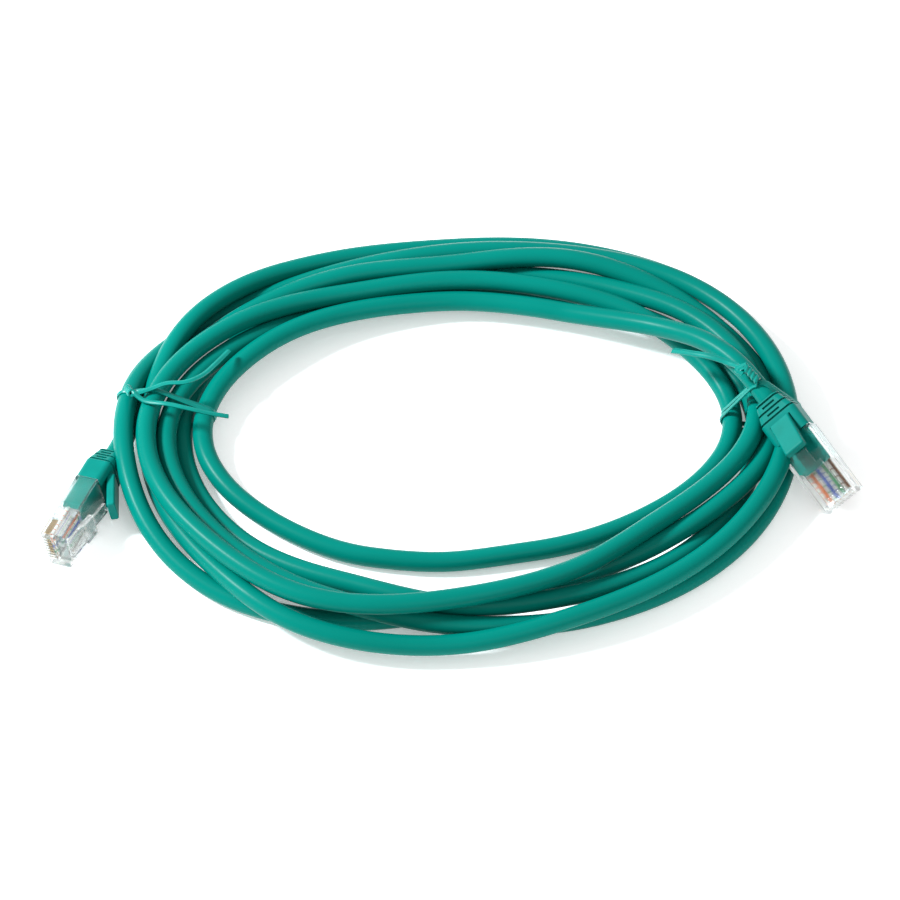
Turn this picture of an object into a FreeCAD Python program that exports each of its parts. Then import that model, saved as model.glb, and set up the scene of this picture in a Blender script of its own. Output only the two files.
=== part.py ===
import FreeCAD, Part
import math
import os
import Sketcher

# An ethernet patch cable, wound into an oval coil of six and a half turns and held by two twist ties.
# Each end has a clear eight-contact modular plug with a moulded snagless boot.
#
# Frame: millimetres, +Z up, +X along the long axis of the oval, origin at the bottom centre of the
# whole object. A plug is modelled in its own frame: nose at x = 0, cable leaving towards -x, contacts
# facing -z, latch on +z, width along y.

Vector = FreeCAD.Vector

SIZES = (
    ("cable_diameter", 5.4),
    ("oval_half_length", 92.0),
    ("oval_half_width", 71.0),
    ("oval_power", 2.1),
    ("oval_tilt", 8.0),
    ("oval_centre_x", -1.1),
    ("oval_centre_y", -0.2),
    ("plug_width", 11.68),
    ("plug_height", 6.5),
    ("plug_length", 21.5),
    ("cavity_depth", 11.0),
    ("cavity_wall", 0.95),
    ("cavity_floor", 0.75),
    ("contact_pitch", 1.02),
    ("contact_thickness", 0.35),
    ("contact_slot_width", 0.5),
    ("contact_slot_length", 6.6),
    ("wire_diameter", 0.95),
    ("wire_level", 2.6),
    ("wire_slot_side_gap", 0.05),
    ("wire_slot_gap", 0.03),
    ("wire_row", 0.56),
    ("wire_rear_pitch", 1.1),
    ("housing_round", 0.35),
    ("nose_wall", 1.2),
    ("nose_recess", 0.9),
    ("nose_step", 0.7),
    ("corner_lug", 1.55),
    ("knuckle_end_gap", 0.3),
    ("latch_hinge_x", -1.7),
    ("latch_hinge_z", 7.0),
    ("latch_knuckle", 1.4),
    ("latch_fit", 0.05),
    ("latch_rest_angle", 8.0),
    ("latch_length", 15.8),
    ("latch_shoulder", 9.8),
    ("latch_root_width", 6.2),
    ("latch_tail_width", 3.2),
    ("latch_thickness", 0.9),
    ("latch_raise", 0.1),
    ("latch_step", 0.7),
    ("latch_step_length", 4.5),
    ("boot_block", 6.5),
    ("boot_taper", 6.0),
    ("boot_width", 11.3),
    ("boot_height", 7.6),
    ("boot_rear_width", 7.0),
    ("boot_rear_height", 6.8),
    ("boot_round", 1.6),
    ("groove_width", 0.55),
    ("groove_depth", 0.75),
    ("groove_half_top", 2.0),
    ("groove_half_side", 1.5),
    ("hood_width", 6.2),
    ("hood_knuckle", 1.7),
    ("hood_below", 0.7),
    ("hood_above", 1.5),
    ("hood_length", 11.0),
    ("hood_hinge_x", -26.0),
    ("hood_hinge_z", 6.9),
    ("hood_rest_angle", 26.0),
    ("hood_fit", 0.05),
    ("hood_slot_depth", 0.8),
    ("hood_round", 0.55),
    ("mould_width", 9.7),
    ("mould_height", 4.9),
    ("mould_length", 10.9),
    ("mould_chamfer", 1.6),
    ("tie_width", 2.6),
    ("tie_thickness", 0.6),
    ("beyond", 1.0),
)

GROOVES = 5

# A contact blade: its rear end, length, bottom, and how far its plate's top stands under the wires.
BLADE = (-6.2, 5.0, 0.4, 0.05)
# Its teeth: their length, how far under the wires they start, their height, and where they stand.
BLADE_TOOTH = (1.1, 0.1, 0.7)
BLADE_TEETH = (-5.4, -3.1)

# Where the wires leave the flat ribbon, reach their two rows, and come together, along the plug.
WIRE_BENDS = (-11.5, -13.5, -17.5)

PAIRS = ("white_orange", "orange", "white_green", "blue", "white_blue", "green", "white_brown", "brown")

document = FreeCAD.newDocument("patch_cable")
sheet = document.addObject("Spreadsheet::Sheet", "Sizes")
for row, (alias, value) in enumerate(SIZES, start=1):
    sheet.set("A%d" % row, alias)
    sheet.set("B%d" % row, str(value))
    sheet.setAlias("B%d" % row, alias)
document.recompute()


def size(alias):
    return float(sheet.get(alias))


CABLE = size("cable_diameter")


# ---------------------------------------------------------------- sketches and features

def start_body(label):
    body = document.addObject("PartDesign::Body", label)
    body.Label = label
    return body


def sketch_on(body, role, name, offset="0"):
    """A sketch on one of the body's origin planes, moved along the plane's normal by an expression."""
    plane = [item for item in body.Origin.OriginFeatures if item.Role == role][0]
    sketch = body.newObject("Sketcher::SketchObject", name)
    sketch.AttachmentSupport = [(plane, "")]
    sketch.MapMode = "FlatFace"
    sketch.setExpression("AttachmentOffset.Base.z", offset)
    return sketch


def number(sketch, expression):
    value = sketch.evalExpression(expression)
    return float(getattr(value, "Value", value))


def bind(sketch, kind, geometry, point, expression):
    """Ties one point's distance from the sketch's origin to an expression."""
    value = number(sketch, expression)
    index = sketch.addConstraint(Sketcher.Constraint(kind, -1, 1, geometry, point, value))
    sketch.setExpression("Constraints[%d]" % index, expression)


def rectangle(sketch, left, right, bottom, top):
    """A rectangle whose four sides stand at the given expressions."""
    x0, x1, y0, y1 = [number(sketch, text) for text in (left, right, bottom, top)]
    corners = [Vector(x0, y0, 0), Vector(x1, y0, 0), Vector(x1, y1, 0), Vector(x0, y1, 0)]
    first = sketch.GeometryCount
    for index in range(4):
        sketch.addGeometry(Part.LineSegment(corners[index], corners[(index + 1) % 4]), False)
    for index in range(4):
        following = first + (index + 1) % 4
        sketch.addConstraint(Sketcher.Constraint("Coincident", first + index, 2, following, 1))
    for index in (0, 2):
        sketch.addConstraint(Sketcher.Constraint("Horizontal", first + index))
        sketch.addConstraint(Sketcher.Constraint("Vertical", first + index + 1))
    bind(sketch, "DistanceX", first, 1, left)
    bind(sketch, "DistanceX", first, 2, right)
    bind(sketch, "DistanceY", first, 1, bottom)
    bind(sketch, "DistanceY", first + 2, 1, top)


def circle(sketch, across, up, diameter):
    """A circle with its centre and diameter at the given expressions."""
    centre = Vector(number(sketch, across), number(sketch, up), 0)
    radius = number(sketch, diameter) / 2
    index = sketch.addGeometry(Part.Circle(centre, Vector(0, 0, 1), radius), False)
    bind(sketch, "DistanceX", index, 3, across)
    bind(sketch, "DistanceY", index, 3, up)
    constraint = sketch.addConstraint(Sketcher.Constraint("Diameter", index, 2 * radius))
    sketch.setExpression("Constraints[%d]" % constraint, diameter)


def feature(body, kind, sketch, length, reverse=False, both_ways=False):
    """A Pad or a Pocket of a sketch; a Pocket that removes nothing is an error."""
    document.recompute()
    before = body.Shape.Volume if body.Tip else 0.0
    item = body.newObject("PartDesign::" + kind, sketch.Name + "_" + kind.lower())
    item.Profile = sketch
    item.setExpression("Length", length)
    item.Reversed = reverse
    item.Midplane = both_ways
    document.recompute()
    after = body.Shape.Volume
    grew = after - before
    if abs(grew) < 1e-3 or (grew > 0) != (kind == "Pad"):
        raise RuntimeError("%s changed nothing in %s" % (item.Name, body.Label))
    return item


def round_edges(body, radius, wanted):
    """Fillets the edges of the body that the test picks."""
    tip = body.Tip
    names = ["Edge%d" % (index + 1) for index, edge in enumerate(tip.Shape.Edges) if wanted(edge)]
    fillet = body.newObject("PartDesign::Fillet", body.Label + "_round")
    fillet.Base = (tip, names)
    fillet.Radius = radius
    document.recompute()
    return fillet


def along(axis, length):
    """A test for straight edges along an axis that are at least so long."""
    def wanted(edge):
        if edge.Curve.TypeId != "Part::GeomLine" or edge.Length < length:
            return False
        direction = edge.Vertexes[1].Point - edge.Vertexes[0].Point
        return abs(direction.normalize().dot(axis)) > 0.999
    return wanted


# ---------------------------------------------------------------- paths and tubes

def rounded_path(points, label=None):
    """Straight runs joined by tangent arcs, each arc as large as its two runs allow."""
    corners = [Vector(*point) for point in points]
    edges = []
    start = corners[0]
    radii = []
    for index in range(1, len(corners) - 1):
        here = corners[index]
        back = corners[index - 1] - here
        ahead = corners[index + 1] - here
        turn = math.pi - back.getAngle(ahead)
        shorter = min(back.Length, ahead.Length)
        reach = 0.45 * shorter
        radii.append(reach / math.tan(turn / 2))
        back.normalize()
        ahead.normalize()
        enter = here + back * reach
        leave = here + ahead * reach
        inward = (back + ahead).normalize()
        centre = here + inward * (radii[-1] / math.cos(turn / 2))
        middle = centre - inward * radii[-1]
        edges.append(Part.LineSegment(start, enter).toShape())
        edges.append(Part.Arc(enter, middle, leave).toShape())
        start = leave
    edges.append(Part.LineSegment(start, corners[-1]).toShape())
    if label and radii:
        print(label, "arc radii, mm:", " ".join("%.0f" % radius for radius in radii))
    return Part.Wire(edges)


def tube(points, diameter, label=None):
    """A round bar along a rounded path, with its volume compared with its section times its length."""
    path = rounded_path(points, label)
    direction = Vector(*points[1]) - Vector(*points[0])
    section = Part.Wire([Part.makeCircle(diameter / 2, Vector(*points[0]), direction)])
    solid = path.makePipeShell([section], True, True)
    expected = math.pi * diameter ** 2 / 4 * path.Length
    if abs(solid.Volume / expected - 1) > 0.01:
        raise RuntimeError("a tube has the wrong volume")
    if label:
        print(label, "length, mm: %.1f" % path.Length)
    return solid


def add_shape(label, shape, placement=None):
    item = document.addObject("Part::Feature", label)
    item.Label = label
    item.Shape = shape
    if placement:
        item.Placement = placement
    return item


# ---------------------------------------------------------------- the pieces of a plug

def housing(label):
    """The clear plug body: a hollow block with a wire slot, contact slots and a toothed nose."""
    body = start_body(label)
    outline = sketch_on(body, "YZ_Plane", label + "_outline")
    rectangle(outline, "-Sizes.plug_width/2", "Sizes.plug_width/2", "0", "Sizes.plug_height")
    feature(body, "Pad", outline, "Sizes.plug_length", reverse=True)
    round_edges(body, size("housing_round"), along(Vector(1, 0, 0), size("plug_length") / 2))

    cavity = sketch_on(body, "YZ_Plane", label + "_cavity", "-Sizes.plug_length")
    inside = "Sizes.plug_width/2-Sizes.cavity_wall"
    rectangle(cavity, "-(" + inside + ")", inside, "Sizes.cavity_floor",
              "Sizes.plug_height-Sizes.cavity_floor")
    feature(body, "Pocket", cavity, "Sizes.cavity_depth", reverse=True)

    slot = sketch_on(body, "YZ_Plane", label + "_wire_slot", "-Sizes.plug_length")
    half_ribbon = "(3.5*Sizes.contact_pitch+Sizes.wire_diameter/2+Sizes.wire_slot_side_gap)"
    half_wire = "(Sizes.wire_diameter/2+Sizes.wire_slot_gap)"
    rectangle(slot, "-" + half_ribbon, half_ribbon, "Sizes.wire_level-" + half_wire,
              "Sizes.wire_level+" + half_wire)
    feature(body, "Pocket", slot, "Sizes.plug_length-Sizes.nose_wall", reverse=True)

    recess = sketch_on(body, "YZ_Plane", label + "_recess")
    between_lugs = "(Sizes.plug_width/2-Sizes.corner_lug)"
    rectangle(recess, "-" + between_lugs, between_lugs, "Sizes.wire_level+Sizes.nose_step",
              "Sizes.plug_height+Sizes.beyond")
    feature(body, "Pocket", recess, "Sizes.nose_recess")

    seat = sketch_on(body, "XZ_Plane", label + "_latch_seat")
    circle(seat, "Sizes.latch_hinge_x", "Sizes.latch_hinge_z", "Sizes.latch_knuckle+2*Sizes.latch_fit")
    feature(body, "Pocket", seat, "Sizes.latch_root_width+2*Sizes.knuckle_end_gap", both_ways=True)

    groove = sketch_on(body, "XY_Plane", label + "_contact_slot")
    first = "(-3.5*Sizes.contact_pitch)"
    half_slot = "Sizes.contact_slot_width/2"
    rectangle(groove, "-Sizes.contact_slot_length", "Sizes.beyond", first + "-" + half_slot,
              first + "+" + half_slot)
    pocket = feature(body, "Pocket", groove, "Sizes.wire_level", reverse=True)
    pattern = body.newObject("PartDesign::LinearPattern", label + "_contact_slots")
    pattern.Originals = [pocket]
    pattern.Direction = (groove, ["V_Axis"])
    pattern.setExpression("Length", "7*Sizes.contact_pitch")
    pattern.Occurrences = len(PAIRS)
    body.Tip = pattern
    return body


def latch(label):
    """The release latch: a hinge knuckle, a broad tongue with locking shoulders and a narrow tail."""
    body = start_body(label)
    knuckle = sketch_on(body, "XZ_Plane", label + "_knuckle")
    circle(knuckle, "0", "0", "Sizes.latch_knuckle")
    feature(body, "Pad", knuckle, "Sizes.latch_root_width", both_ways=True)

    tongue = sketch_on(body, "XY_Plane", label + "_tongue", "-Sizes.latch_thickness/2+Sizes.latch_raise")
    half_root = "Sizes.latch_root_width/2"
    half_tail = "Sizes.latch_tail_width/2"
    rectangle(tongue, "-Sizes.latch_shoulder", "0", "-" + half_root, half_root)
    feature(body, "Pad", tongue, "Sizes.latch_thickness")

    tail = sketch_on(body, "XY_Plane", label + "_tail", "-Sizes.latch_thickness/2+Sizes.latch_raise")
    rectangle(tail, "-Sizes.latch_length", "-Sizes.latch_shoulder+Sizes.beyond", "-" + half_tail, half_tail)
    feature(body, "Pad", tail, "Sizes.latch_thickness")

    step = sketch_on(body, "XY_Plane", label + "_step", "Sizes.latch_thickness/2+Sizes.latch_raise")
    rectangle(step, "-Sizes.latch_shoulder", "-Sizes.latch_shoulder+Sizes.latch_step_length",
              "-" + half_root, half_root)
    feature(body, "Pad", step, "Sizes.latch_step")
    return body


def boot(label):
    """The strain relief: a square block against the housing and a grooved taper down to the cable."""
    body = start_body(label)
    middle = "Sizes.plug_height/2"
    block = sketch_on(body, "YZ_Plane", label + "_block", "-Sizes.plug_length")
    rectangle(block, "-Sizes.boot_width/2", "Sizes.boot_width/2", middle + "-Sizes.boot_height/2",
              middle + "+Sizes.boot_height/2")
    feature(body, "Pad", block, "Sizes.boot_block", reverse=True)

    wide = sketch_on(body, "YZ_Plane", label + "_wide", "-Sizes.plug_length-Sizes.boot_block")
    rectangle(wide, "-Sizes.boot_width/2", "Sizes.boot_width/2", middle + "-Sizes.boot_height/2",
              middle + "+Sizes.boot_height/2")
    narrow = sketch_on(body, "YZ_Plane", label + "_narrow",
                       "-Sizes.plug_length-Sizes.boot_block-Sizes.boot_taper")
    rectangle(narrow, "-Sizes.boot_rear_width/2", "Sizes.boot_rear_width/2",
              middle + "-Sizes.boot_rear_height/2", middle + "+Sizes.boot_rear_height/2")
    document.recompute()
    taper = body.newObject("PartDesign::AdditiveLoft", label + "_taper")
    taper.Profile = wide
    taper.Sections = [narrow]
    taper.Ruled = True
    document.recompute()
    shortest = 0.8 * size("boot_taper")
    round_edges(body, size("boot_round"), lambda edge: edge.Length > shortest
                and abs(edge.tangentAt(edge.FirstParameter).x) > 0.8)

    bore = sketch_on(body, "YZ_Plane", label + "_bore", "-Sizes.plug_length")
    circle(bore, "0", middle, "Sizes.cable_diameter")
    feature(body, "Pocket", bore, "Sizes.boot_block+Sizes.boot_taper+Sizes.beyond")

    for index in range(GROOVES):
        cut_groove(body, label, index, middle)

    seat = sketch_on(body, "XZ_Plane", label + "_hood_seat")
    circle(seat, "Sizes.hood_hinge_x", "Sizes.hood_hinge_z", "Sizes.hood_knuckle+2*Sizes.hood_fit")
    feature(body, "Pocket", seat, "Sizes.hood_width+2*Sizes.knuckle_end_gap", both_ways=True)
    slot = sketch_on(body, "XZ_Plane", label + "_hood_slot")
    rectangle(slot, "Sizes.hood_hinge_x", "-Sizes.plug_length+Sizes.beyond",
              "Sizes.hood_hinge_z-Sizes.hood_slot_depth", "Sizes.hood_hinge_z+2*Sizes.beyond")
    feature(body, "Pocket", slot, "Sizes.hood_width+2*Sizes.knuckle_end_gap", both_ways=True)
    return body


def cut_groove(body, label, index, middle):
    """One flexing groove across the taper: every other one is broken at the four corners."""
    share = "((%d+0.5)/%d)" % (index, GROOVES)
    start = "-Sizes.plug_length-Sizes.boot_block"
    sides = sketch_on(body, "YZ_Plane", "%s_groove_%d" % (label, index),
                      start + "-Sizes.boot_taper*" + share + "+Sizes.groove_width/2")

    def half(measure):
        """Half the boot's width or height at the groove, less the groove's depth."""
        wide = "Sizes.boot_%s*(1-%s)" % (measure, share)
        narrow = "Sizes.boot_rear_%s*%s" % (measure, share)
        return "((%s+%s)/2-Sizes.groove_depth)" % (wide, narrow)

    half_width, half_height = half("width"), half("height")
    outside = "Sizes.boot_width"
    low, high = middle + "-", middle + "+"
    if index % 2 == 0:
        rectangle(sides, "-" + outside, outside, low + outside, high + outside)
        rectangle(sides, "-" + half_width, half_width, low + half_height, high + half_height)
    else:
        side, top = "Sizes.groove_half_side", "Sizes.groove_half_top"
        rectangle(sides, "-" + outside, "-" + half_width, low + side, high + side)
        rectangle(sides, half_width, outside, low + side, high + side)
        rectangle(sides, "-" + top, top, low + outside, low + half_height)
        rectangle(sides, "-" + top, top, high + half_height, high + outside)
    feature(body, "Pocket", sides, "Sizes.groove_width")


def hood(label):
    """The snagless hood: an arm that rises from the boot over the latch's tail."""
    body = start_body(label)
    root = sketch_on(body, "XZ_Plane", label + "_root")
    circle(root, "0", "0", "Sizes.hood_knuckle")
    feature(body, "Pad", root, "Sizes.hood_width", both_ways=True)
    arm = sketch_on(body, "XZ_Plane", label + "_arm")
    rectangle(arm, "0", "Sizes.hood_length", "-Sizes.hood_below", "Sizes.hood_above")
    feature(body, "Pad", arm, "Sizes.hood_width", both_ways=True)
    tip = size("hood_length")
    shortest = 0.9 * (size("hood_below") + size("hood_above"))
    round_edges(body, size("hood_round"), lambda edge: edge.CenterOfMass.x > 0.2 * tip
                and edge.Length > shortest)
    return body


def contact(index):
    """One gold blade: a flat plate in its slot with two teeth that pierce the wire above it."""
    thick = size("contact_thickness")
    y = (index - 3.5) * size("contact_pitch") - thick / 2
    wire_bottom = size("wire_level") - size("wire_diameter") / 2
    rear, length, bottom, under_wire = BLADE
    plate = Part.makeBox(length, thick, wire_bottom - under_wire - bottom, Vector(rear, y, bottom))
    tooth, start, high = BLADE_TOOTH
    teeth = [Part.makeBox(tooth, thick, high, Vector(x, y, wire_bottom - start)) for x in BLADE_TEETH]
    return plate.fuse(teeth).removeSplitter()


def wire_route(index):
    """Flat ribbon in the housing, then split into two rows and drawn together towards the jacket."""
    level = size("wire_level")
    centre = size("plug_height") / 2
    front = (index - 3.5) * size("contact_pitch")
    row = size("wire_row") if index % 2 else -size("wire_row")
    rear = (index // 2 - 1.5) * size("wire_rear_pitch")
    flat_end, row_start, row_end = WIRE_BENDS
    return [(-size("nose_wall"), front, level), (flat_end, front, level),
            (row_start, front, centre + row), (row_end, rear, centre + row),
            (-size("plug_length"), rear, centre + row)]


def contacts():
    return Part.makeCompound([contact(index) for index in range(len(PAIRS))])


def wire(index):
    return tube(wire_route(index), size("wire_diameter")).cut(contact(index))


def cable_end():
    """The jacketed cable inside the boot, from the housing's rear face to the boot's rear face."""
    depth = size("boot_block") + size("boot_taper")
    start = Vector(-size("plug_length"), 0, size("plug_height") / 2)
    return Part.makeCylinder(CABLE / 2, depth, start, Vector(-1, 0, 0))


def mould():
    """The soft block that fills the housing's rear cavity around the wires."""
    width, height, length = size("mould_width"), size("mould_height"), size("mould_length")
    corner = Vector(-size("plug_length"), -width / 2, (size("plug_height") - height) / 2)
    block = Part.makeBox(length, width, height, corner)
    tiny = 0.01
    front = [edge for edge in block.Edges
             if edge.CenterOfMass.x > corner.x + length - tiny and edge.Length < height + tiny]
    block = block.makeChamfer(size("mould_chamfer"), front)
    wires = [tube(wire_route(index), size("wire_diameter")) for index in range(len(PAIRS))]
    return block.cut(wires)


def add_plug(name, place):
    """All the pieces of one plug, each as its own object at the plug's place."""
    for label, maker in (("housing", housing), ("boot", boot)):
        maker(name + "_" + label).Placement = place
    for label, maker in (("latch", latch), ("hood", hood)):
        turn = size(label + "_rest_angle") * (1 if label == "latch" else -1)
        hinge = Vector(size(label + "_hinge_x"), 0, size(label + "_hinge_z"))
        rest = FreeCAD.Placement(hinge, FreeCAD.Rotation(Vector(0, 1, 0), turn))
        maker(name + "_" + label).Placement = place.multiply(rest)
    add_shape(name + "_contacts", contacts(), place)
    add_shape(name + "_mould", mould(), place)
    add_shape(name + "_cable_end", cable_end(), place)
    for index, pair in enumerate(PAIRS):
        add_shape(name + "_wire_" + pair, wire(index), place)


# ---------------------------------------------------------------- the coil

# The room left round a plug: the margin at its sides, behind its boot and ahead of its nose.
PLUG_MARGIN = 0.35
PLUG_ENDS = (0.1, 0.4)
# The room over the boot for the hood: how far behind its hinge it starts, its length, floor and height.
HOOD_TRAVEL = (1.5, 14.0, 5.0, 9.5)

# The bundle of turns at twelve places around the oval, clockwise from the left end as seen from above.
# In cable diameters: how far its outer edge stands inside the oval, how far its inner edge does, and
# its height.
BUNDLE = (
    (0.55, 5.25, 2.5),
    (0.25, 5.00, 2.5),
    (-0.25, 4.75, 2.1),
    (-0.25, 4.75, 2.1),
    (-0.50, 5.25, 2.3),
    (-0.75, 4.75, 2.4),
    (-0.25, 4.25, 2.3),
    (-0.50, 6.25, 2.3),
    (0.00, 6.25, 2.5),
    (-0.25, 6.25, 2.75),
    (0.00, 6.75, 2.75),
    (0.70, 7.00, 2.6),
)

# The bundle's bevelled edges: at its top corners in cable diameters, and at its foot in millimetres.
BUNDLE_SLOPE = 0.6
BUNDLE_FOOT = 1.5

# Half the bundle's flat raised stretch at a tie, half of it with its two slopes, and the room that
# it takes among the plain sections, in twelfths of a turn.
TIE_STRETCH = (0.07, 0.14, 0.17)


def oval_radius(angle):
    """The distance from the oval's centre to its edge in a direction, as a superellipse."""
    turned = angle - math.radians(size("oval_tilt"))
    power = size("oval_power")
    across = abs(math.cos(turned) / size("oval_half_length")) ** power
    up = abs(math.sin(turned) / size("oval_half_width")) ** power
    return (across + up) ** (-1 / power)


def bundle_at(place):
    """The bundle's outer edge, inner edge and height at a place from 0 to 12 around the oval."""
    count = len(BUNDLE)
    index = int(math.floor(place))
    share = (1 - math.cos(math.pi * (place - index))) / 2
    here = BUNDLE[index % count]
    following = BUNDLE[(index + 1) % count]
    return [a + (b - a) * share for a, b in zip(here, following)]


def coil_point(angle, radius, height):
    """A point in the frame from a direction and distance about the oval's centre."""
    across = size("oval_centre_x") + radius * math.cos(angle)
    back = size("oval_centre_y") + radius * math.sin(angle)
    return Vector(across, back, height)


def bundle_outline(place, lift=0.0, gap=0.0):
    """The bundle's outline across the oval, as radius and height; gap makes it that much larger."""
    angle = math.pi - 2 * math.pi * place / len(BUNDLE)
    outer, inner, height = bundle_at(place)
    far = oval_radius(angle) - outer * CABLE + gap
    near = oval_radius(angle) - inner * CABLE - gap
    top = height * CABLE + gap
    slope = BUNDLE_SLOPE * CABLE
    low = lift - gap
    outline = [(far - BUNDLE_FOOT, low), (far, low + slope), (far, top - slope), (far - slope, top),
               (near + slope, top), (near, top - slope), (near, low + slope), (near + BUNDLE_FOOT, low)]
    return angle, outline


def outline_wire(angle, outline):
    points = [coil_point(angle, radius, up) for radius, up in outline]
    return Part.makePolygon(points + points[:1])


def coil_places():
    """Places around the oval for the coil's sections, with a narrow raised stretch at each tie."""
    steps = 4 * len(BUNDLE)
    flat, sloped, room = TIE_STRETCH
    places = [(step * len(BUNDLE) / steps, 0.0) for step in range(steps)]
    for tie in TIES:
        places = [item for item in places if abs(item[0] - tie) > room]
        places += [(tie - sloped, 0.0), (tie + sloped, 0.0)]
        places += [(tie - flat, TIE_LIFT), (tie + flat, TIE_LIFT)]
    return sorted(places)


def ring(wires):
    """A closed solid through outlines all round the oval, its faces plane triangles."""
    faces = []
    for wire_here, wire_next in zip(wires, wires[1:] + wires[:1]):
        for edge, other in zip(wire_here.Edges, wire_next.Edges):
            a, b = [vertex.Point for vertex in edge.Vertexes]
            c, d = [vertex.Point for vertex in other.Vertexes]
            faces.append(Part.Face(Part.makePolygon([a, b, d, a])))
            faces.append(Part.Face(Part.makePolygon([a, d, c, a])))
    return Part.makeSolid(Part.makeShell(faces))


def boot_rear():
    """How far behind the nose the boot's rear face stands, as a negative x."""
    return -size("plug_length") - size("boot_block") - size("boot_taper")


def plug_room(place):
    """The space that a plug, its boot and its hood's travel take, with a margin all round."""
    wide = size("plug_width") / 2 + PLUG_MARGIN
    low = (size("plug_height") - size("boot_height")) / 2 - PLUG_MARGIN
    high = size("boot_height") + 2 * PLUG_MARGIN
    rear, front = boot_rear() - PLUG_ENDS[0], PLUG_ENDS[1]
    body = Part.makeBox(front - rear, 2 * wide, high, Vector(rear, -wide, low))
    half = size("hood_width") / 2 + PLUG_MARGIN
    behind, length, floor, travel = HOOD_TRAVEL
    above = Part.makeBox(length, 2 * half, travel, Vector(size("hood_hinge_x") - behind, -half, floor))
    room = body.fuse(above)
    room.Placement = place
    return room


def coil_solid():
    """The outer shape of the whole coil, as one ring, with room for the two plugs that lie on it."""
    solid = ring([outline_wire(*bundle_outline(place, lift)) for place, lift in coil_places()])
    for place in (PLUG_A, PLUG_B):
        solid = solid.cut(plug_room(place))
    return max(solid.Solids, key=lambda piece: piece.Volume)


# ---------------------------------------------------------------- the ties

def tie_band(outline_inner, outline_outer, angle, width):
    """A closed band between two outlines across the bundle."""
    outer = Part.Face(outline_wire(angle, outline_outer))
    inner = Part.Face(outline_wire(angle, outline_inner))
    across = Vector(-math.sin(angle), math.cos(angle), 0)
    flat = outer.cut(inner).Faces[0]
    flat.translate(across * (-width / 2))
    return flat.extrude(across * width)


def add_tie(name, place, over=None):
    """A twist tie round the bundle: a plastic ribbon with a thin steel wire along its middle.

    Where the tie also holds a cable that lies over the bundle, over gives that cable's distance
    from the oval's centre, half its width across the tie, and its top.
    """
    thick = size("tie_thickness")
    loops = []
    for share in (0.0, WIRE_DEPTH, 1 - WIRE_DEPTH, 1.0):
        gap = TIE_GAP + share * thick
        angle, outline = bundle_outline(place, TIE_LIFT, gap)
        if over:
            middle, half, top = over
            outline[4:4] = [(middle + half, top + gap), (middle - half, top + gap)]
        loops.append(outline)
    core = tie_band(loops[1], loops[2], angle, WIRE_DEPTH * thick)
    ribbon = tie_band(loops[0], loops[3], angle, size("tie_width")).cut(core)
    add_shape(name + "_ribbon", ribbon)
    add_shape(name + "_wire", core)


# ---------------------------------------------------------------- the whole cable

PLUG_A = FreeCAD.Placement(Vector(-106.87, -38.47, 5.95), FreeCAD.Rotation(-113.3, -0.5, -79.4))
PLUG_B = FreeCAD.Placement(Vector(103.56, -20.77, 3.60), FreeCAD.Rotation(-54.2, 16.6, 39.2))

# Where the ties stand, in twelfths of a turn from the left end, how far they lift the bundle off
# the floor, and their gap to it. The right one also holds the cable that comes from plug B.
TIES = (0.28, 5.66)
TIE_LIFT = 0.9
TIE_GAP = 0.2
# How deep in the ribbon its wire lies, as a share of the ribbon's thickness.
WIRE_DEPTH = 0.3
OVER_CABLE = (78.0, 4.0, 21.4)


def exit_point(place, beyond=0.0):
    """A point on the cable's line behind a boot's rear face."""
    return tuple(place.multVec(Vector(boot_rear() - beyond, 0, size("plug_height") / 2)))


# The uncoiled ends, from each boot's rear face to where the cable joins the bundle.
TAIL_A = (exit_point(PLUG_A), exit_point(PLUG_A, 6.0), (-86.30, 2.60, 5.60))
TAIL_B = (exit_point(PLUG_B), exit_point(PLUG_B, 8.0), (73.20, 17.10, 18.70), (66.30, 24.10, 17.20),
          (59.20, 29.90, 14.00))


def finished():
    """Recomputes the document and checks every object and every shape."""
    document.recompute()
    for item in document.Objects:
        if "Invalid" in item.State or "Error" in item.State:
            raise RuntimeError("%s is %s" % (item.Label, item.State))
    pieces = [item for item in document.Objects
              if item.TypeId in ("PartDesign::Body", "Part::Feature")]
    for item in pieces:
        if item.Shape.isNull() or not item.Shape.isValid():
            raise RuntimeError("%s has no valid shape" % item.Label)
    return pieces


add_plug("plug_a", PLUG_A)
add_plug("plug_b", PLUG_B)
add_shape("coil", coil_solid())
add_shape("tail_a", tube(TAIL_A, CABLE, "tail_a"))
add_shape("tail_b", tube(TAIL_B, CABLE, "tail_b"))
add_tie("tie_left", TIES[0])
add_tie("tie_right", TIES[1], OVER_CABLE)

os.makedirs("parts", exist_ok=True)
for piece in finished():
    piece.Shape.exportStep("parts/%s.step" % piece.Label)
    print(piece.Label, "solids %d" % len(piece.Shape.Solids), "volume %.2f" % piece.Shape.Volume)
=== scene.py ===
import math

import bpy
import numpy as np
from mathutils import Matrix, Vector


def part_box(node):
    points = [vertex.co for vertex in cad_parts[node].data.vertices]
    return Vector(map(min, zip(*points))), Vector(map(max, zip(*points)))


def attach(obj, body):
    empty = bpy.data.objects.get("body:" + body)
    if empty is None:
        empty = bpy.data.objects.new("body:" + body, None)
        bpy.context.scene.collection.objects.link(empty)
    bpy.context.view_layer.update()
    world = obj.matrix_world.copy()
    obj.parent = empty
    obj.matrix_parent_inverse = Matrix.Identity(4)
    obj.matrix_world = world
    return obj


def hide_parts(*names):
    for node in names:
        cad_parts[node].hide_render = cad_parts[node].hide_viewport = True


# An ethernet patch cable: a teal jacket wound in an oval of six and a half turns, a clear plug and a
# grooved boot at each end, and two twist ties. Metres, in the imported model's frame.

MM = 0.001

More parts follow.
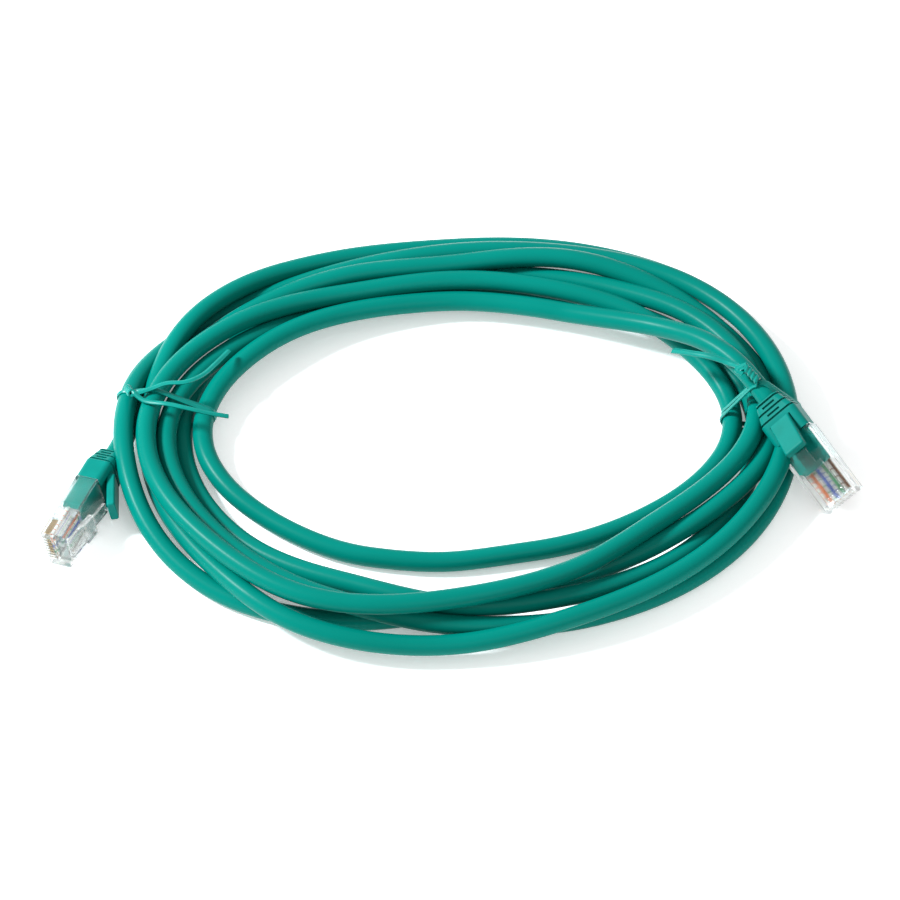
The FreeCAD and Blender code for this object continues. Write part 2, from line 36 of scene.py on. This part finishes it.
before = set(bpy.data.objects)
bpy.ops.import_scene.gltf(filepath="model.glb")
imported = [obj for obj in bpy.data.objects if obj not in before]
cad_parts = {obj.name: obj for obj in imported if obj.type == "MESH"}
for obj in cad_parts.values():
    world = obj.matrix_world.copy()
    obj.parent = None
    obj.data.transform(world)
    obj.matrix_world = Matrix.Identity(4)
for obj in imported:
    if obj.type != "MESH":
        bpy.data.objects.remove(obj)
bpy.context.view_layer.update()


# ---------------------------------------------------------------- the cable's route

CABLE = 5.4 * MM
CENTRE = (-1.1 * MM, -0.2 * MM)
HALF_LENGTH = 92.0 * MM
HALF_WIDTH = 71.0 * MM
OVAL_POWER = 2.1
OVAL_TILT = math.radians(8.0)

STATIONS = 12
POINTS_PER_STATION = 5

# One row a turn, one column a station, clockwise from the left end as seen from above. Both tables
# are the figures of a route that a program had fitted, rounded to quarters, and about a sixth of them
# were then changed. They aren't hand-chosen.
# LANES: how far in from the oval the strand lies, in cable diameters.
LANES = (
    (1.10, 1.75, 2.00, 2.25, 1.75, 1.50, 1.25, 2.80, 3.50, 2.75, 1.75, 1.25),
    (1.00, 0.75, 1.25, 1.25, 1.00, 0.50, 0.50, 0.65, 0.50, 0.25, 0.50, 2.25),
    (2.00, 0.75, 0.25, 0.25, 0.00, -0.25, 0.25, 0.45, 0.90, 1.40, 2.50, 3.50),
    (3.00, 3.50, 3.50, 3.25, 3.50, 2.75, 2.00, 1.95, 2.10, 2.20, 3.90, 4.50),
    (3.75, 2.75, 2.25, 2.25, 2.25, 2.00, 2.25, 3.55, 2.75, 2.00, 1.60, 2.50),
    (2.00, 2.75, 3.25, 3.25, 3.75, 3.75, 3.75, 5.25, 5.75, 5.75, 6.25, 6.50),
    (4.75, 4.50, 4.25, 4.25, 5.00),
)
# LEVELS: how high the strand's middle lies, in cable diameters.
LEVELS = (
    (0.80, 1.00, 1.50, 1.50, 1.75, 1.00, 1.00, 1.00, 0.50, 0.50, 0.50, 0.75),
    (1.85, 0.50, 1.00, 1.25, 1.25, 1.50, 1.75, 1.50, 1.50, 1.00, 1.25, 1.00),
    (1.00, 1.50, 0.75, 0.50, 0.50, 0.50, 0.50, 0.50, 0.50, 1.00, 1.25, 1.25),
    (1.50, 1.25, 0.50, 0.50, 0.50, 0.50, 0.50, 0.60, 1.00, 1.25, 1.00, 0.50),
    (0.50, 0.50, 0.50, 0.50, 1.00, 1.75, 1.75, 1.75, 2.00, 2.25, 2.25, 2.00),
    (2.00, 2.00, 1.50, 1.50, 1.50, 1.25, 0.50, 0.50, 0.50, 0.50, 0.50, 0.50),
    (1.00, 1.50, 1.25, 1.00, 1.25),
)
FIRST_PLACE = 0.25
LAST_PLACE = 76.25

# Where each twist tie holds the coil (a point in millimetres, and its direction across the strands),
# how far the ties lift the cable and along what stretch, and how the right one draws it together.
TIE_PLACES = {"left": ((-77.3, 8.6), math.radians(172.0)), "right": ((79.5, 6.9), math.radians(-13.0))}
TIE_LIFT = 0.7 * MM
TIE_STRETCH = 12.0 * MM
TIE_REACH = 25.0 * MM
SQUEEZE_PLACE = 5.75
SQUEEZE_STRETCH = 0.5
SQUEEZE = 0.2

# The uncoiled ends, from each boot's rear face, in millimetres.
TAIL_A = ((-90.49, -8.50, 6.25), (-88.12, -2.99, 6.20), (-86.30, 2.60, 5.60))
TAIL_B = ((83.26, 3.87, 15.73), (78.77, 10.09, 18.01), (73.20, 17.10, 18.70), (66.30, 24.10, 17.20),
          (59.20, 29.90, 14.00), (50.50, 35.20, 10.90))


# How near two strands' points are before the strands are eased apart, and how far apart their
# middles then lie, in cable diameters.
NEARBY = 1.6
APART = 0.985
# How often they are eased, how much of each push is taken, how many points on either side belong to
# the same stretch, and how much of its neighbours' movement a point takes on.
EASE_ROUNDS = 60
EASE_SHARE = 0.5
SAME_STRETCH = 4
NEIGHBOUR_SHARE = 0.1
TINY = 1e-9


def smooth_value(values, place):
    """A smooth curve through evenly spaced values."""
    index = int(math.floor(place))
    share = place - index

    def value(at):
        return values[min(max(at, 0), len(values) - 1)]

    a, b, c, d = (value(index + step) for step in (-1, 0, 1, 2))
    cubic = 3 * b - a - 3 * c + d
    square = 2 * a - 5 * b + 4 * c - d
    return 0.5 * (2 * b + (c - a) * share + square * share ** 2 + cubic * share ** 3)


def oval_radius(angle):
    """The distance from the oval's centre to its edge in a direction, as a superellipse."""
    turned = angle - OVAL_TILT
    across = abs(math.cos(turned) / HALF_LENGTH) ** OVAL_POWER
    up = abs(math.sin(turned) / HALF_WIDTH) ** OVAL_POWER
    return (across + up) ** (-1 / OVAL_POWER)


def coil_points():
    """The coil's turns, as points all along them."""
    lanes = [lane for row in LANES for lane in row]
    levels = [level for row in LEVELS for level in row]
    count = int((LAST_PLACE - FIRST_PLACE) * POINTS_PER_STATION) + 1
    points = []
    for index in range(count):
        place = FIRST_PLACE + index / POINTS_PER_STATION
        angle = math.pi - 2 * math.pi * place / STATIONS
        beside = (place % STATIONS - SQUEEZE_PLACE) / SQUEEZE_STRETCH
        drawn = 1 - SQUEEZE * math.exp(-beside ** 2)
        radius = oval_radius(angle) - CABLE * smooth_value(lanes, place) * drawn
        height = CABLE * max(0.5, smooth_value(levels, place))
        points.append((CENTRE[0] + radius * math.cos(angle), CENTRE[1] + radius * math.sin(angle), height))
    return points


def beside_tie(point, side):
    """Where a point lies from a tie's place: across the strands, and along them."""
    place, angle = TIE_PLACES[side]
    x, y = point[0] - place[0] * MM, point[1] - place[1] * MM
    return x * math.cos(angle) + y * math.sin(angle), y * math.cos(angle) - x * math.sin(angle)


def lowest_middle(point):
    """How low a point of the cable may lie: on the floor, or on the ribbon where a tie holds it."""
    lift = 0.0
    for side in TIE_PLACES:
        across, along = beside_tie(point, side)
        if abs(across) < TIE_REACH:
            lift = max(lift, TIE_LIFT * math.exp(-(along / TIE_STRETCH) ** 2))
    return 0.5 * CABLE + lift


def settle(points):
    """Eases strands apart until they lie a diameter from one another and on the floor."""
    start = np.array(points)
    lowest = np.array([lowest_middle(point) for point in points])
    moved = np.zeros_like(start)
    index = np.arange(len(start))
    apart = np.abs(index[:, None] - index[None, :]) > SAME_STRETCH
    for _ in range(EASE_ROUNDS):
        here = start + moved
        along = np.gradient(here, axis=0)
        along /= np.linalg.norm(along, axis=1)[:, None]
        between = here[:, None] - here[None]
        sideways = between - np.einsum("ijk,ik->ij", between, along)[..., None] * along[:, None]
        gap = np.linalg.norm(sideways, axis=2) + TINY
        near = apart & (np.linalg.norm(between, axis=2) < NEARBY * CABLE) & (gap < APART * CABLE)
        push = np.where(near, (APART * CABLE - gap) / gap, 0)[..., None] * sideways
        moved += EASE_SHARE * push.sum(1) / np.maximum(near.sum(1), 1)[:, None]
        beside = NEIGHBOUR_SHARE * moved[:-2]
        moved[1:-1] = beside + (1 - 2 * NEIGHBOUR_SHARE) * moved[1:-1] + NEIGHBOUR_SHARE * moved[2:]
        moved[:, 2] = np.maximum(moved[:, 2], lowest - start[:, 2])
    return start + moved


def route():
    """The whole route from boot to boot, in metres."""
    head = [tuple(value * MM for value in point) for point in TAIL_A]
    tail = [tuple(value * MM for value in point) for point in reversed(TAIL_B)]
    points = settle(head + coil_points() + tail)
    points[:2] = head[:2]
    points[-2:] = tail[-2:]
    return [tuple(point) for point in points]


BEVEL_RESOLUTION = 7
CURVE_RESOLUTION = 6


def spline_curve(name, points, radius):
    """A round cord on one smooth NURBS spline with the given control points.

    The thickness is in the points' radius, because the curve's bounding box is made from it.
    """
    data = bpy.data.curves.new(name, "CURVE")
    data.dimensions = "3D"
    data.bevel_depth = 1.0
    data.bevel_resolution = BEVEL_RESOLUTION
    data.resolution_u = CURVE_RESOLUTION
    data.use_fill_caps = True
    spline = data.splines.new("NURBS")
    spline.points.add(len(points) - 1)
    for target, point in zip(spline.points, points):
        target.co = (*point, 1.0)
        target.radius = radius
    spline.order_u = 3
    spline.use_endpoint_u = True
    piece = bpy.data.objects.new(name, data)
    bpy.context.scene.collection.objects.link(piece)
    return piece


def line_of(piece):
    """Points along a curve's own centre line."""
    depth = piece.data.bevel_depth
    caps = piece.data.use_fill_caps
    piece.data.bevel_depth = 0
    piece.data.use_fill_caps = False
    mesh = bpy.data.meshes.new_from_object(piece)
    points = [vertex.co.copy() for vertex in mesh.vertices]
    bpy.data.meshes.remove(mesh)
    piece.data.bevel_depth = depth
    piece.data.use_fill_caps = caps
    return points


def length_of(points):
    """The length of a line through points."""
    return sum((b - a).length for a, b in zip(points, points[1:]))


# ---------------------------------------------------------------- materials

# How strongly the grain of any material shades its surface. Grain scales are in waves per metre and
# grain heights in metres.
GRAIN_STRENGTH = 0.35


def node_material(name, colour, roughness, **sockets):
    """A Principled material and its parts: the material, its nodes, its links and its shader."""
    material = bpy.data.materials.new(name)
    material.use_nodes = True
    nodes = material.node_tree.nodes
    shader = nodes["Principled BSDF"]
    shader.inputs["Base Color"].default_value = (*colour, 1.0)
    shader.inputs["Roughness"].default_value = roughness
    for socket, value in sockets.items():
        shader.inputs[socket.replace("_", " ")].default_value = value
    return material, nodes, material.node_tree.links, shader


def add_grain(nodes, links, shader, scale, height, detail=3.0):
    """A fine moulded or drawn surface as bump, from noise in the object's own space."""
    place = nodes.new("ShaderNodeTexCoord")
    noise = nodes.new("ShaderNodeTexNoise")
    noise.inputs["Scale"].default_value = scale
    noise.inputs["Detail"].default_value = detail
    bump = nodes.new("ShaderNodeBump")
    bump.inputs["Strength"].default_value = GRAIN_STRENGTH
    bump.inputs["Distance"].default_value = height
    links.new(place.outputs["Object"], noise.inputs["Vector"])
    links.new(noise.outputs["Fac"], bump.inputs["Height"])
    links.new(bump.outputs["Normal"], shader.inputs["Normal"])


def add_mottle(nodes, links, shader, scale, low, high):
    """Slow colour change between two shades, from noise in the object's own space."""
    place = nodes.new("ShaderNodeTexCoord")
    noise = nodes.new("ShaderNodeTexNoise")
    noise.inputs["Scale"].default_value = scale
    noise.inputs["Detail"].default_value = 2.0
    ramp = nodes.new("ShaderNodeValToRGB")
    ramp.color_ramp.elements[0].position = 0.3
    ramp.color_ramp.elements[0].color = (*low, 1.0)
    ramp.color_ramp.elements[1].position = 0.7
    ramp.color_ramp.elements[1].color = (*high, 1.0)
    links.new(place.outputs["Object"], noise.inputs["Vector"])
    links.new(noise.outputs["Fac"], ramp.inputs["Fac"])
    links.new(ramp.outputs["Color"], shader.inputs["Base Color"])


def jacket_material():
    """Smooth teal PVC with a soft gloss."""
    material, nodes, links, shader = node_material("jacket_pvc", (0.0, 0.147, 0.116), 0.30,
                                                   Specular_IOR_Level=0.05)
    add_mottle(nodes, links, shader, 22.0, (0.0, 0.137, 0.107), (0.0, 0.157, 0.126))
    add_grain(nodes, links, shader, 900.0, 0.00006)
    return material


def moulded_green():
    """The boots and hoods: soft teal PVC with a satin face. The inner blocks are the same PVC in a
    brighter copy with painted light.
    """
    material, nodes, links, shader = node_material("moulded_green", (0.0, 0.155, 0.128), 0.4,
                                                   Specular_IOR_Level=0.08)
    add_mottle(nodes, links, shader, 160.0, (0.0, 0.143, 0.116), (0.0, 0.167, 0.140))
    add_grain(nodes, links, shader, 1600.0, 0.00004)
    return material


def inner_green_painted_light():
    """The block inside each housing, seen through clear plastic: the boots' teal painted brighter, as
    painted light making up for the light that the clear housing takes away.
    """
    material, nodes, links, shader = node_material("inner_green_painted_light", (0.0, 0.25, 0.21), 0.5,
                                                   Specular_IOR_Level=0.1)
    add_mottle(nodes, links, shader, 240.0, (0.0, 0.23, 0.19), (0.0, 0.27, 0.23))
    add_grain(nodes, links, shader, 1600.0, 0.00004)
    return material


def tie_plastic():
    """The twist ties' ribbon: thin glossy plastic of the cable's colour."""
    material, nodes, links, shader = node_material("tie_ribbon", (0.0, 0.19, 0.155), 0.3,
                                                   Specular_IOR_Level=0.2)
    add_mottle(nodes, links, shader, 300.0, (0.0, 0.175, 0.142), (0.0, 0.205, 0.168))
    add_grain(nodes, links, shader, 1200.0, 0.00005)
    return material


def clear_plastic():
    """Clear moulded polycarbonate with faint flow lines."""
    material, nodes, links, shader = node_material("clear_polycarbonate", (0.88, 0.90, 0.89), 0.03,
                                                   Transmission_Weight=1.0, IOR=1.46, Alpha=0.78)
    add_grain(nodes, links, shader, 260.0, 0.00003, 1.0)
    return material


def gold():
    material, nodes, links, shader = node_material("contact_gold", (0.62, 0.42, 0.20), 0.28, Metallic=1.0)
    add_grain(nodes, links, shader, 2500.0, 0.00002)
    return material


def steel():
    """The drawn steel wire inside each tie."""
    material, nodes, links, shader = node_material("drawn_steel", (0.5, 0.5, 0.5), 0.35, Metallic=1.0)
    add_grain(nodes, links, shader, 3000.0, 0.00002)
    return material


WIRE_COLOURS = {
    "orange": (0.80, 0.16, 0.02),
    "green": (0.01, 0.32, 0.10),
    "blue": (0.01, 0.07, 0.50),
    "brown": (0.16, 0.06, 0.02),
}
WIRE_WHITE = (0.80, 0.78, 0.74)
# How far apart the white wires' stripes are, and how much of that each stripe takes.
STRIPE_PITCH = {"orange": 1.7 * MM, "green": 2.1 * MM, "blue": 1.4 * MM, "brown": 2.4 * MM}
STRIPE_SHARE = 0.14


def wire_material(name, plug):
    """A plain wire, or a white one with coloured stripes at right angles to the plug's length."""
    shade = name.split("_")[-1]
    colour = WIRE_COLOURS[shade]
    material, nodes, links, shader = node_material("wire_%s_%s" % (plug, name), colour, 0.4)
    add_grain(nodes, links, shader, 3000.0, 0.00002)
    if name.startswith("white"):
        low, high = (Vector(corner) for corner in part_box("plug_%s_housing" % plug))
        rear = sum((Vector(corner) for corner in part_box("plug_%s_cable_end" % plug)), Vector()) / 2
        forward = ((low + high) / 2 - rear).normalized()
        place = nodes.new("ShaderNodeTexCoord")
        along = nodes.new("ShaderNodeVectorMath")
        along.operation = "DOT_PRODUCT"
        along.inputs[1].default_value = forward
        stripes = nodes.new("ShaderNodeMath")
        stripes.operation = "PINGPONG"
        stripes.inputs[1].default_value = STRIPE_PITCH[shade] / 2
        ramp = nodes.new("ShaderNodeValToRGB")
        ramp.color_ramp.interpolation = "CONSTANT"
        ramp.color_ramp.elements[0].color = (*colour, 1.0)
        ramp.color_ramp.elements[1].color = (*WIRE_WHITE, 1.0)
        ramp.color_ramp.elements[1].position = STRIPE_SHARE
        scale = nodes.new("ShaderNodeMath")
        scale.operation = "DIVIDE"
        scale.inputs[1].default_value = STRIPE_PITCH[shade] / 2
        links.new(place.outputs["Object"], along.inputs[0])
        links.new(along.outputs["Value"], stripes.inputs[0])
        links.new(stripes.outputs[0], scale.inputs[0])
        links.new(scale.outputs[0], ramp.inputs["Fac"])
        links.new(ramp.outputs["Color"], shader.inputs["Base Color"])
    return material


def paint(material, *names):
    """Gives CAD nodes their material."""
    for name in names:
        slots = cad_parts[name].material_slots
        for slot in slots:
            slot.material = material


def paint_plugs():
    """Gives every CAD node of both plugs its material."""
    clear, green, inner, brass = clear_plastic(), moulded_green(), inner_green_painted_light(), gold()
    jacket = bpy.data.materials["jacket_pvc"]
    for plug in "ab":
        name = "plug_%s_" % plug
        paint(clear, name + "housing", name + "latch")
        paint(green, name + "boot", name + "hood")
        # The inner block takes the teal copy that is painted brighter, as painted light.
        paint(inner, name + "mould")
        paint(brass, name + "contacts")
        paint(jacket, name + "cable_end")
        for colour in WIRE_COLOURS:
            paint(wire_material(colour, plug), name + "wire_" + colour)
            paint(wire_material("white_" + colour, plug), name + "wire_white_" + colour)


# ---------------------------------------------------------------- the cable

def add_cable(points):
    """The jacketed cable from boot to boot, as one cord."""
    cable = spline_curve("patch_cable", points, CABLE / 2)
    cable.data.materials.append(jacket_material())
    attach(cable, "cable")
    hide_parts("coil", "tail_a", "tail_b")
    line = line_of(cable)
    print("cable length, m: %.3f" % length_of(line))
    return cable


# ---------------------------------------------------------------- the twist ties

RIBBON_THICKNESS = 0.3 * MM
TIE_WIRE_RADIUS = 0.3 * MM
TWIST_RADIUS = 0.75 * MM
TWIST_TURNS = 2.0
TWIST_STEPS = 40
TWIST_WIDTH = 1.2 * MM
TWIST_LIFT = 0.5 * MM
OUTLINE_STEPS = 72
# How many places on either side the ribbon's width is averaged over.
WIDTH_REACH = 3
# The room between a ribbon and the strands, and the points round a strand that it may touch.
RIBBON_ROOM = 0.05 * MM
STRAND_STEPS = 24

# For each tie: how often it goes round, where its knot sits (how far across the strands from its
# place), which way the twisted stretch points and how long it is, how far the ribbon runs to the side
# along its way round, its width along the same way, how wide its tips are, and its two loose ends.
# In millimetres.
TIES = {
    "left": dict(
        wraps=1, knot=9.5, twist=((0.25, -0.75, 0.35), 3.6), drift=(0.4, 0.6, 0.0, -0.5, 0.0),
        width=(1.2, 1.8, 2.2, 1.6, 1.2), tip=1.3,
        ends=(((-80.6, 7.9, 15.6), (-76.4, 9.0, 16.6), (-71.4, 9.2, 16.9), (-67.0, 12.2, 16.2),
               (-63.8, 17.0, 15.0), (-60.3, 23.4, 13.2)),
              ((-82.0, 4.2, 15.0), (-76.0, 2.3, 16.0), (-70.4, 1.1, 15.6), (-65.5, 0.8, 14.2),
               (-59.8, 1.0, 12.4)))),
    "right": dict(
        wraps=2, knot=0.5, twist=((-0.65, 0.50, 0.50), 5.0), drift=(-0.9, -1.2, -0.6, 0.4, 1.0, 1.4, 0.6),
        width=(1.2, 1.4, 2.4, 1.8, 1.2, 2.4, 1.2), tip=1.9,
        ends=(((73.6, 12.4, 20.6), (68.2, 15.2, 20.2), (63.2, 18.0, 18.4), (58.4, 21.4, 15.6)),
              ((75.0, 8.6, 22.6), (76.4, 7.4, 22.4)))),
}


def crossings(points, side):
    """Where the cable crosses a tie's upright plane: how far across it, and how high."""
    found = []
    for here, following in zip(points, points[1:]):
        (across, along), (across_next, along_next) = beside_tie(here, side), beside_tie(following, side)
        if along * along_next <= 0 and abs(across) < TIE_REACH:
            share = along / (along - along_next)
            found.append((across + (across_next - across) * share,
                          here[2] + (following[2] - here[2]) * share))
    return found


def hull(points):
    """The convex outline of flat points, counter-clockwise."""
    ordered = sorted(points)

    def chain(run):
        line = []
        for point in run:
            while len(line) > 1:
                (ax, ay), (bx, by) = line[-2:]
                if (bx - ax) * (point[1] - ay) - (by - ay) * (point[0] - ax) > 0:
                    break
                line.pop()
            line.append(point)
        return line[:-1]

    return chain(ordered) + chain(ordered[::-1])


def evenly(points, count):
    """Points spread evenly along a closed line."""
    closed = [Vector(point) for point in points + points[:1]]
    lengths = [(b - a).length for a, b in zip(closed, closed[1:])]
    step = sum(lengths) / count
    spread, index, passed = [], 0, 0.0
    for number in range(count):
        wanted = number * step
        while passed + lengths[index] < wanted:
            passed += lengths[index]
            index += 1
        spread.append(closed[index].lerp(closed[index + 1], (wanted - passed) / lengths[index]))
    return spread


def band_outline(points, side):
    """The line that a tight ribbon takes round the strands: how far across them, and how high."""
    gap = CABLE / 2 + RIBBON_THICKNESS / 2 + RIBBON_ROOM
    ring = [2 * math.pi * step / STRAND_STEPS for step in range(STRAND_STEPS)]
    touched = [(across + gap * math.cos(turn), up + gap * math.sin(turn))
               for across, up in crossings(points, side) for turn in ring]
    return evenly(hull(touched), OUTLINE_STEPS)


def frame_along(line, widthways):
    """At each point of a line: the point, the direction across the ribbon and the one out of its face."""
    frames = []
    for index, point in enumerate(line):
        ahead = (line[min(index + 1, len(line) - 1)] - line[max(index - 1, 0)]).normalized()
        across = widthways[index] - ahead * widthways[index].dot(ahead)
        across.normalize()
        frames.append((point, across, ahead.cross(across)))
    return frames


def sweep(name, frames, outlines):
    """A solid with its section's outline given at each frame, as across and out-of-face pairs."""
    count = len(outlines[0])
    vertices = [point + across * u + out * v
                for (point, across, out), outline in zip(frames, outlines) for u, v in outline]
    faces = []
    for ring in range(len(frames) - 1):
        for side in range(count):
            a, b = ring * count + side, ring * count + (side + 1) % count
            faces.append((a, b, b + count, a + count))
    faces.append(tuple(range(count))[::-1])
    faces.append(tuple(range(len(vertices) - count, len(vertices))))
    mesh = bpy.data.meshes.new(name)
    mesh.from_pydata(vertices, [], faces)
    mesh.polygons.foreach_set("use_smooth", [True] * len(faces))
    mesh.set_sharp_from_angle(angle=math.radians(50))
    piece = bpy.data.objects.new(name, mesh)
    bpy.context.scene.collection.objects.link(piece)
    return piece


def ribbon_section(width):
    """A flat ribbon's section with a round rib over the wire in its middle."""
    half, flat = width / 2, RIBBON_THICKNESS / 2
    rib = TIE_WIRE_RADIUS + 0.1 * MM
    upper = [(half, flat), (0.5 * MM, flat), (0.25 * MM, 0.9 * rib), (0, rib), (-0.25 * MM, 0.9 * rib),
             (-0.5 * MM, flat), (-half, flat)]
    return upper[::-1] + [(u, -v) for u, v in upper]


def round_section(radius, count=10):
    """A round wire's section."""
    turns = [-2 * math.pi * step / count for step in range(count)]
    return [(radius * math.cos(turn), radius * math.sin(turn)) for turn in turns]


def twisted(start, axis, length, phase):
    """One of the two strands of a twisted stretch: its points and their directions across."""
    first = axis.orthogonal().normalized()
    second = axis.cross(first)
    line, widthways = [], []
    for step in range(TWIST_STEPS + 1):
        share = step / TWIST_STEPS
        turn = phase + 2 * math.pi * TWIST_TURNS * share
        outwards = first * math.cos(turn) + second * math.sin(turn)
        line.append(start + axis * length * share + outwards * TWIST_RADIUS)
        widthways.append(axis)
    return line, widthways


def smooth_line(points, steps=8):
    """A smooth line through given points."""
    line = []
    for index in range((len(points) - 1) * steps + 1):
        place = index / steps
        line.append(Vector([smooth_value([point[axis] for point in points], place) for axis in range(3)]))
    return line


def loose_end(start, points):
    """The line of a loose end, from the twisted stretch out to its tip, lying flat."""
    line = smooth_line([start] + [Vector(point) * MM for point in points])[1:]
    widthways = []
    for index, point in enumerate(line):
        ahead = line[min(index + 1, len(line) - 1)] - line[max(index - 1, 0)]
        widthways.append(Vector((0, 0, 1)).cross(ahead).normalized())
    return line, widthways


def wrap(outline, side, start, shape):
    """The ribbon's way round the bundle from the knot and back, running a little to the side."""
    place, angle = TIE_PLACES[side]
    outwards = Vector((math.cos(angle), math.sin(angle), 0))
    sideways = Vector((-math.sin(angle), math.cos(angle), 0))
    middle = Vector((place[0] * MM, place[1] * MM, 0))
    count = shape["wraps"] * OUTLINE_STEPS
    line, widths = [], []
    for step in range(count + 1):
        across, up = outline[(start + step) % OUTLINE_STEPS]
        share = step / count
        drift = smooth_value(shape["drift"], share * (len(shape["drift"]) - 1)) * MM
        line.append(middle + outwards * across + Vector((0, 0, up)) + sideways * drift)
        widths.append(smooth_value(shape["width"], share * (len(shape["width"]) - 1)) * MM)
    return line, [sideways] * (count + 1), widths


def knot_step(outline, knot):
    """The outline's step nearest to the knot, on the upper side of the bundle."""
    middle = sum(point[1] for point in outline) / len(outline)
    upper = [index for index, (across, up) in enumerate(outline) if up > middle]
    return min(upper, key=lambda index: abs(outline[index][0] - knot))


def twist_and_end(foot, shape, end):
    """One strand of the twisted stretch with its loose end: its line, directions across and widths."""
    direction, length = shape["twist"]
    twist_line, twist_across = twisted(foot, Vector(direction).normalized(), length * MM, end * math.pi)
    tip_line, tip_across = loose_end(twist_line[-1], shape["ends"][end])
    widths = [TWIST_WIDTH] * len(twist_line) + [shape["tip"] * MM] * len(tip_line)
    return twist_line + tip_line, twist_across + tip_across, widths


def averaged(values):
    """Each value averaged with the ones beside it."""
    result = []
    for at in range(len(values)):
        beside = values[max(0, at - WIDTH_REACH):at + WIDTH_REACH + 1]
        result.append(sum(beside) / len(beside))
    return result


def tie_path(points, side):
    """A tie's whole ribbon, tip to tip: the frames along it, and its width at each of them."""
    shape = TIES[side]
    outline = band_outline(points, side)
    line, widthways, widths = wrap(outline, side, knot_step(outline, shape["knot"] * MM), shape)
    foot = (line[0] + line[-1]) / 2 + Vector((0, 0, TWIST_RADIUS + TWIST_LIFT))
    first, last = (twist_and_end(foot, shape, end) for end in (0, 1))
    line = first[0][::-1] + line + last[0]
    widthways = first[1][::-1] + widthways + last[1]
    widths = first[2][::-1] + widths + last[2]
    for number in range(1, len(widthways)):
        if widthways[number].dot(widthways[number - 1]) < 0:
            widthways[number] = -widthways[number]
    return frame_along(line, widthways), averaged(widths)


def add_tie(side, points, plastic, metal):
    """One twist tie: round the bundle, twisted together at the knot, with two loose ends."""
    frames, widths = tie_path(points, side)
    name = "tie_%s_" % side
    ribbon = sweep(name + "ribbon_detail", frames, [ribbon_section(width) for width in widths])
    wire = sweep(name + "wire_detail", frames, [round_section(TIE_WIRE_RADIUS)] * len(frames))
    for piece, material, stands_for, slot in ((ribbon, plastic, "ribbon", "tie_plastic"),
                                              (wire, metal, "wire", "tie_steel")):
        piece.data.materials.append(material)
        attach(piece, "cable")
        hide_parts(name + stands_for)


# ---------------------------------------------------------------- stage, light and camera

# A square floor just under the cable, which gives a little light itself, so that its shadows stay pale.
FLOOR_HALF = 3.0
FLOOR_DROP = 0.2 * MM
FLOOR_WHITE = 0.97
FLOOR_GLOW = 0.3

# Each light: its name, its place and diameter in metres, its power in watts and its colour.
LIGHTS = (
    ("key", (-0.85, 0.10, 0.80), 0.26, 30.0, (0.86, 0.96, 1.0)),
    ("fill", (0.5, -0.9, 0.9), 0.9, 3.0, (1.0, 1.0, 1.0)),
)
WORLD_STRENGTH = 0.7

# The angle is an estimate from the plugs' edges, and the distance is assumed.
CAMERA_HEIGHT_ANGLE = math.radians(50.0)
CAMERA_DISTANCE = 1.4
CAMERA_LENS = 210.0
CAMERA_SENSOR = 36.0


def look_at(thing, target):
    """Turns a camera or light to face a point."""
    direction = Vector(target) - thing.location
    thing.rotation_euler = direction.to_track_quat("-Z", "Y").to_euler()


def add_floor():
    """A plain pale floor."""
    mesh = bpy.data.meshes.new("floor")
    corners = ((-1, -1), (1, -1), (1, 1), (-1, 1))
    vertices = [(x * FLOOR_HALF, y * FLOOR_HALF, 0) for x, y in corners]
    mesh.from_pydata(vertices, [], [(0, 1, 2, 3)])
    floor = bpy.data.objects.new("floor", mesh)
    floor.location.z = -FLOOR_DROP
    bpy.context.scene.collection.objects.link(floor)
    material, nodes, links, shader = node_material("pale_floor", (FLOOR_WHITE,) * 3, 0.9,
                                                   Emission_Color=(1.0, 1.0, 1.0, 1.0),
                                                   Emission_Strength=FLOOR_GLOW)
    mesh.materials.append(material)


def add_light(name, location, size, power, colour):
    """A round soft light that points at the origin."""
    data = bpy.data.lights.new(name, "AREA")
    data.shape = "DISK"
    data.size = size
    data.energy = power
    data.color = colour
    light = bpy.data.objects.new(name, data)
    light.location = location
    look_at(light, (0, 0, 0))
    bpy.context.scene.collection.objects.link(light)


def add_camera():
    """The camera, looking at the middle of the oval from the front and above."""
    data = bpy.data.cameras.new("camera")
    data.lens = CAMERA_LENS
    data.sensor_width = CAMERA_SENSOR
    data.clip_start = 0.01
    camera = bpy.data.objects.new("camera", data)
    target = Vector((*CENTRE, 0))
    back = Vector((0, -math.cos(CAMERA_HEIGHT_ANGLE), math.sin(CAMERA_HEIGHT_ANGLE)))
    camera.location = target + back * CAMERA_DISTANCE
    look_at(camera, target)
    bpy.context.scene.collection.objects.link(camera)
    bpy.context.scene.camera = camera


def set_world():
    """An even white surround, and plain colours with no film look."""
    world = bpy.data.worlds.new("studio")
    world.use_nodes = True
    background = world.node_tree.nodes["Background"]
    background.inputs["Color"].default_value = (1.0, 1.0, 1.0, 1.0)
    background.inputs["Strength"].default_value = WORLD_STRENGTH
    bpy.context.scene.world = world
    bpy.context.scene.view_settings.view_transform = "Standard"


add_camera()
set_world()
add_floor()
for light_row in LIGHTS:
    add_light(*light_row)
route_points = route()
add_cable(route_points)
paint_plugs()
tie_colour, tie_metal = tie_plastic(), steel()
for tie_side in TIES:
    add_tie(tie_side, route_points, tie_colour, tie_metal)
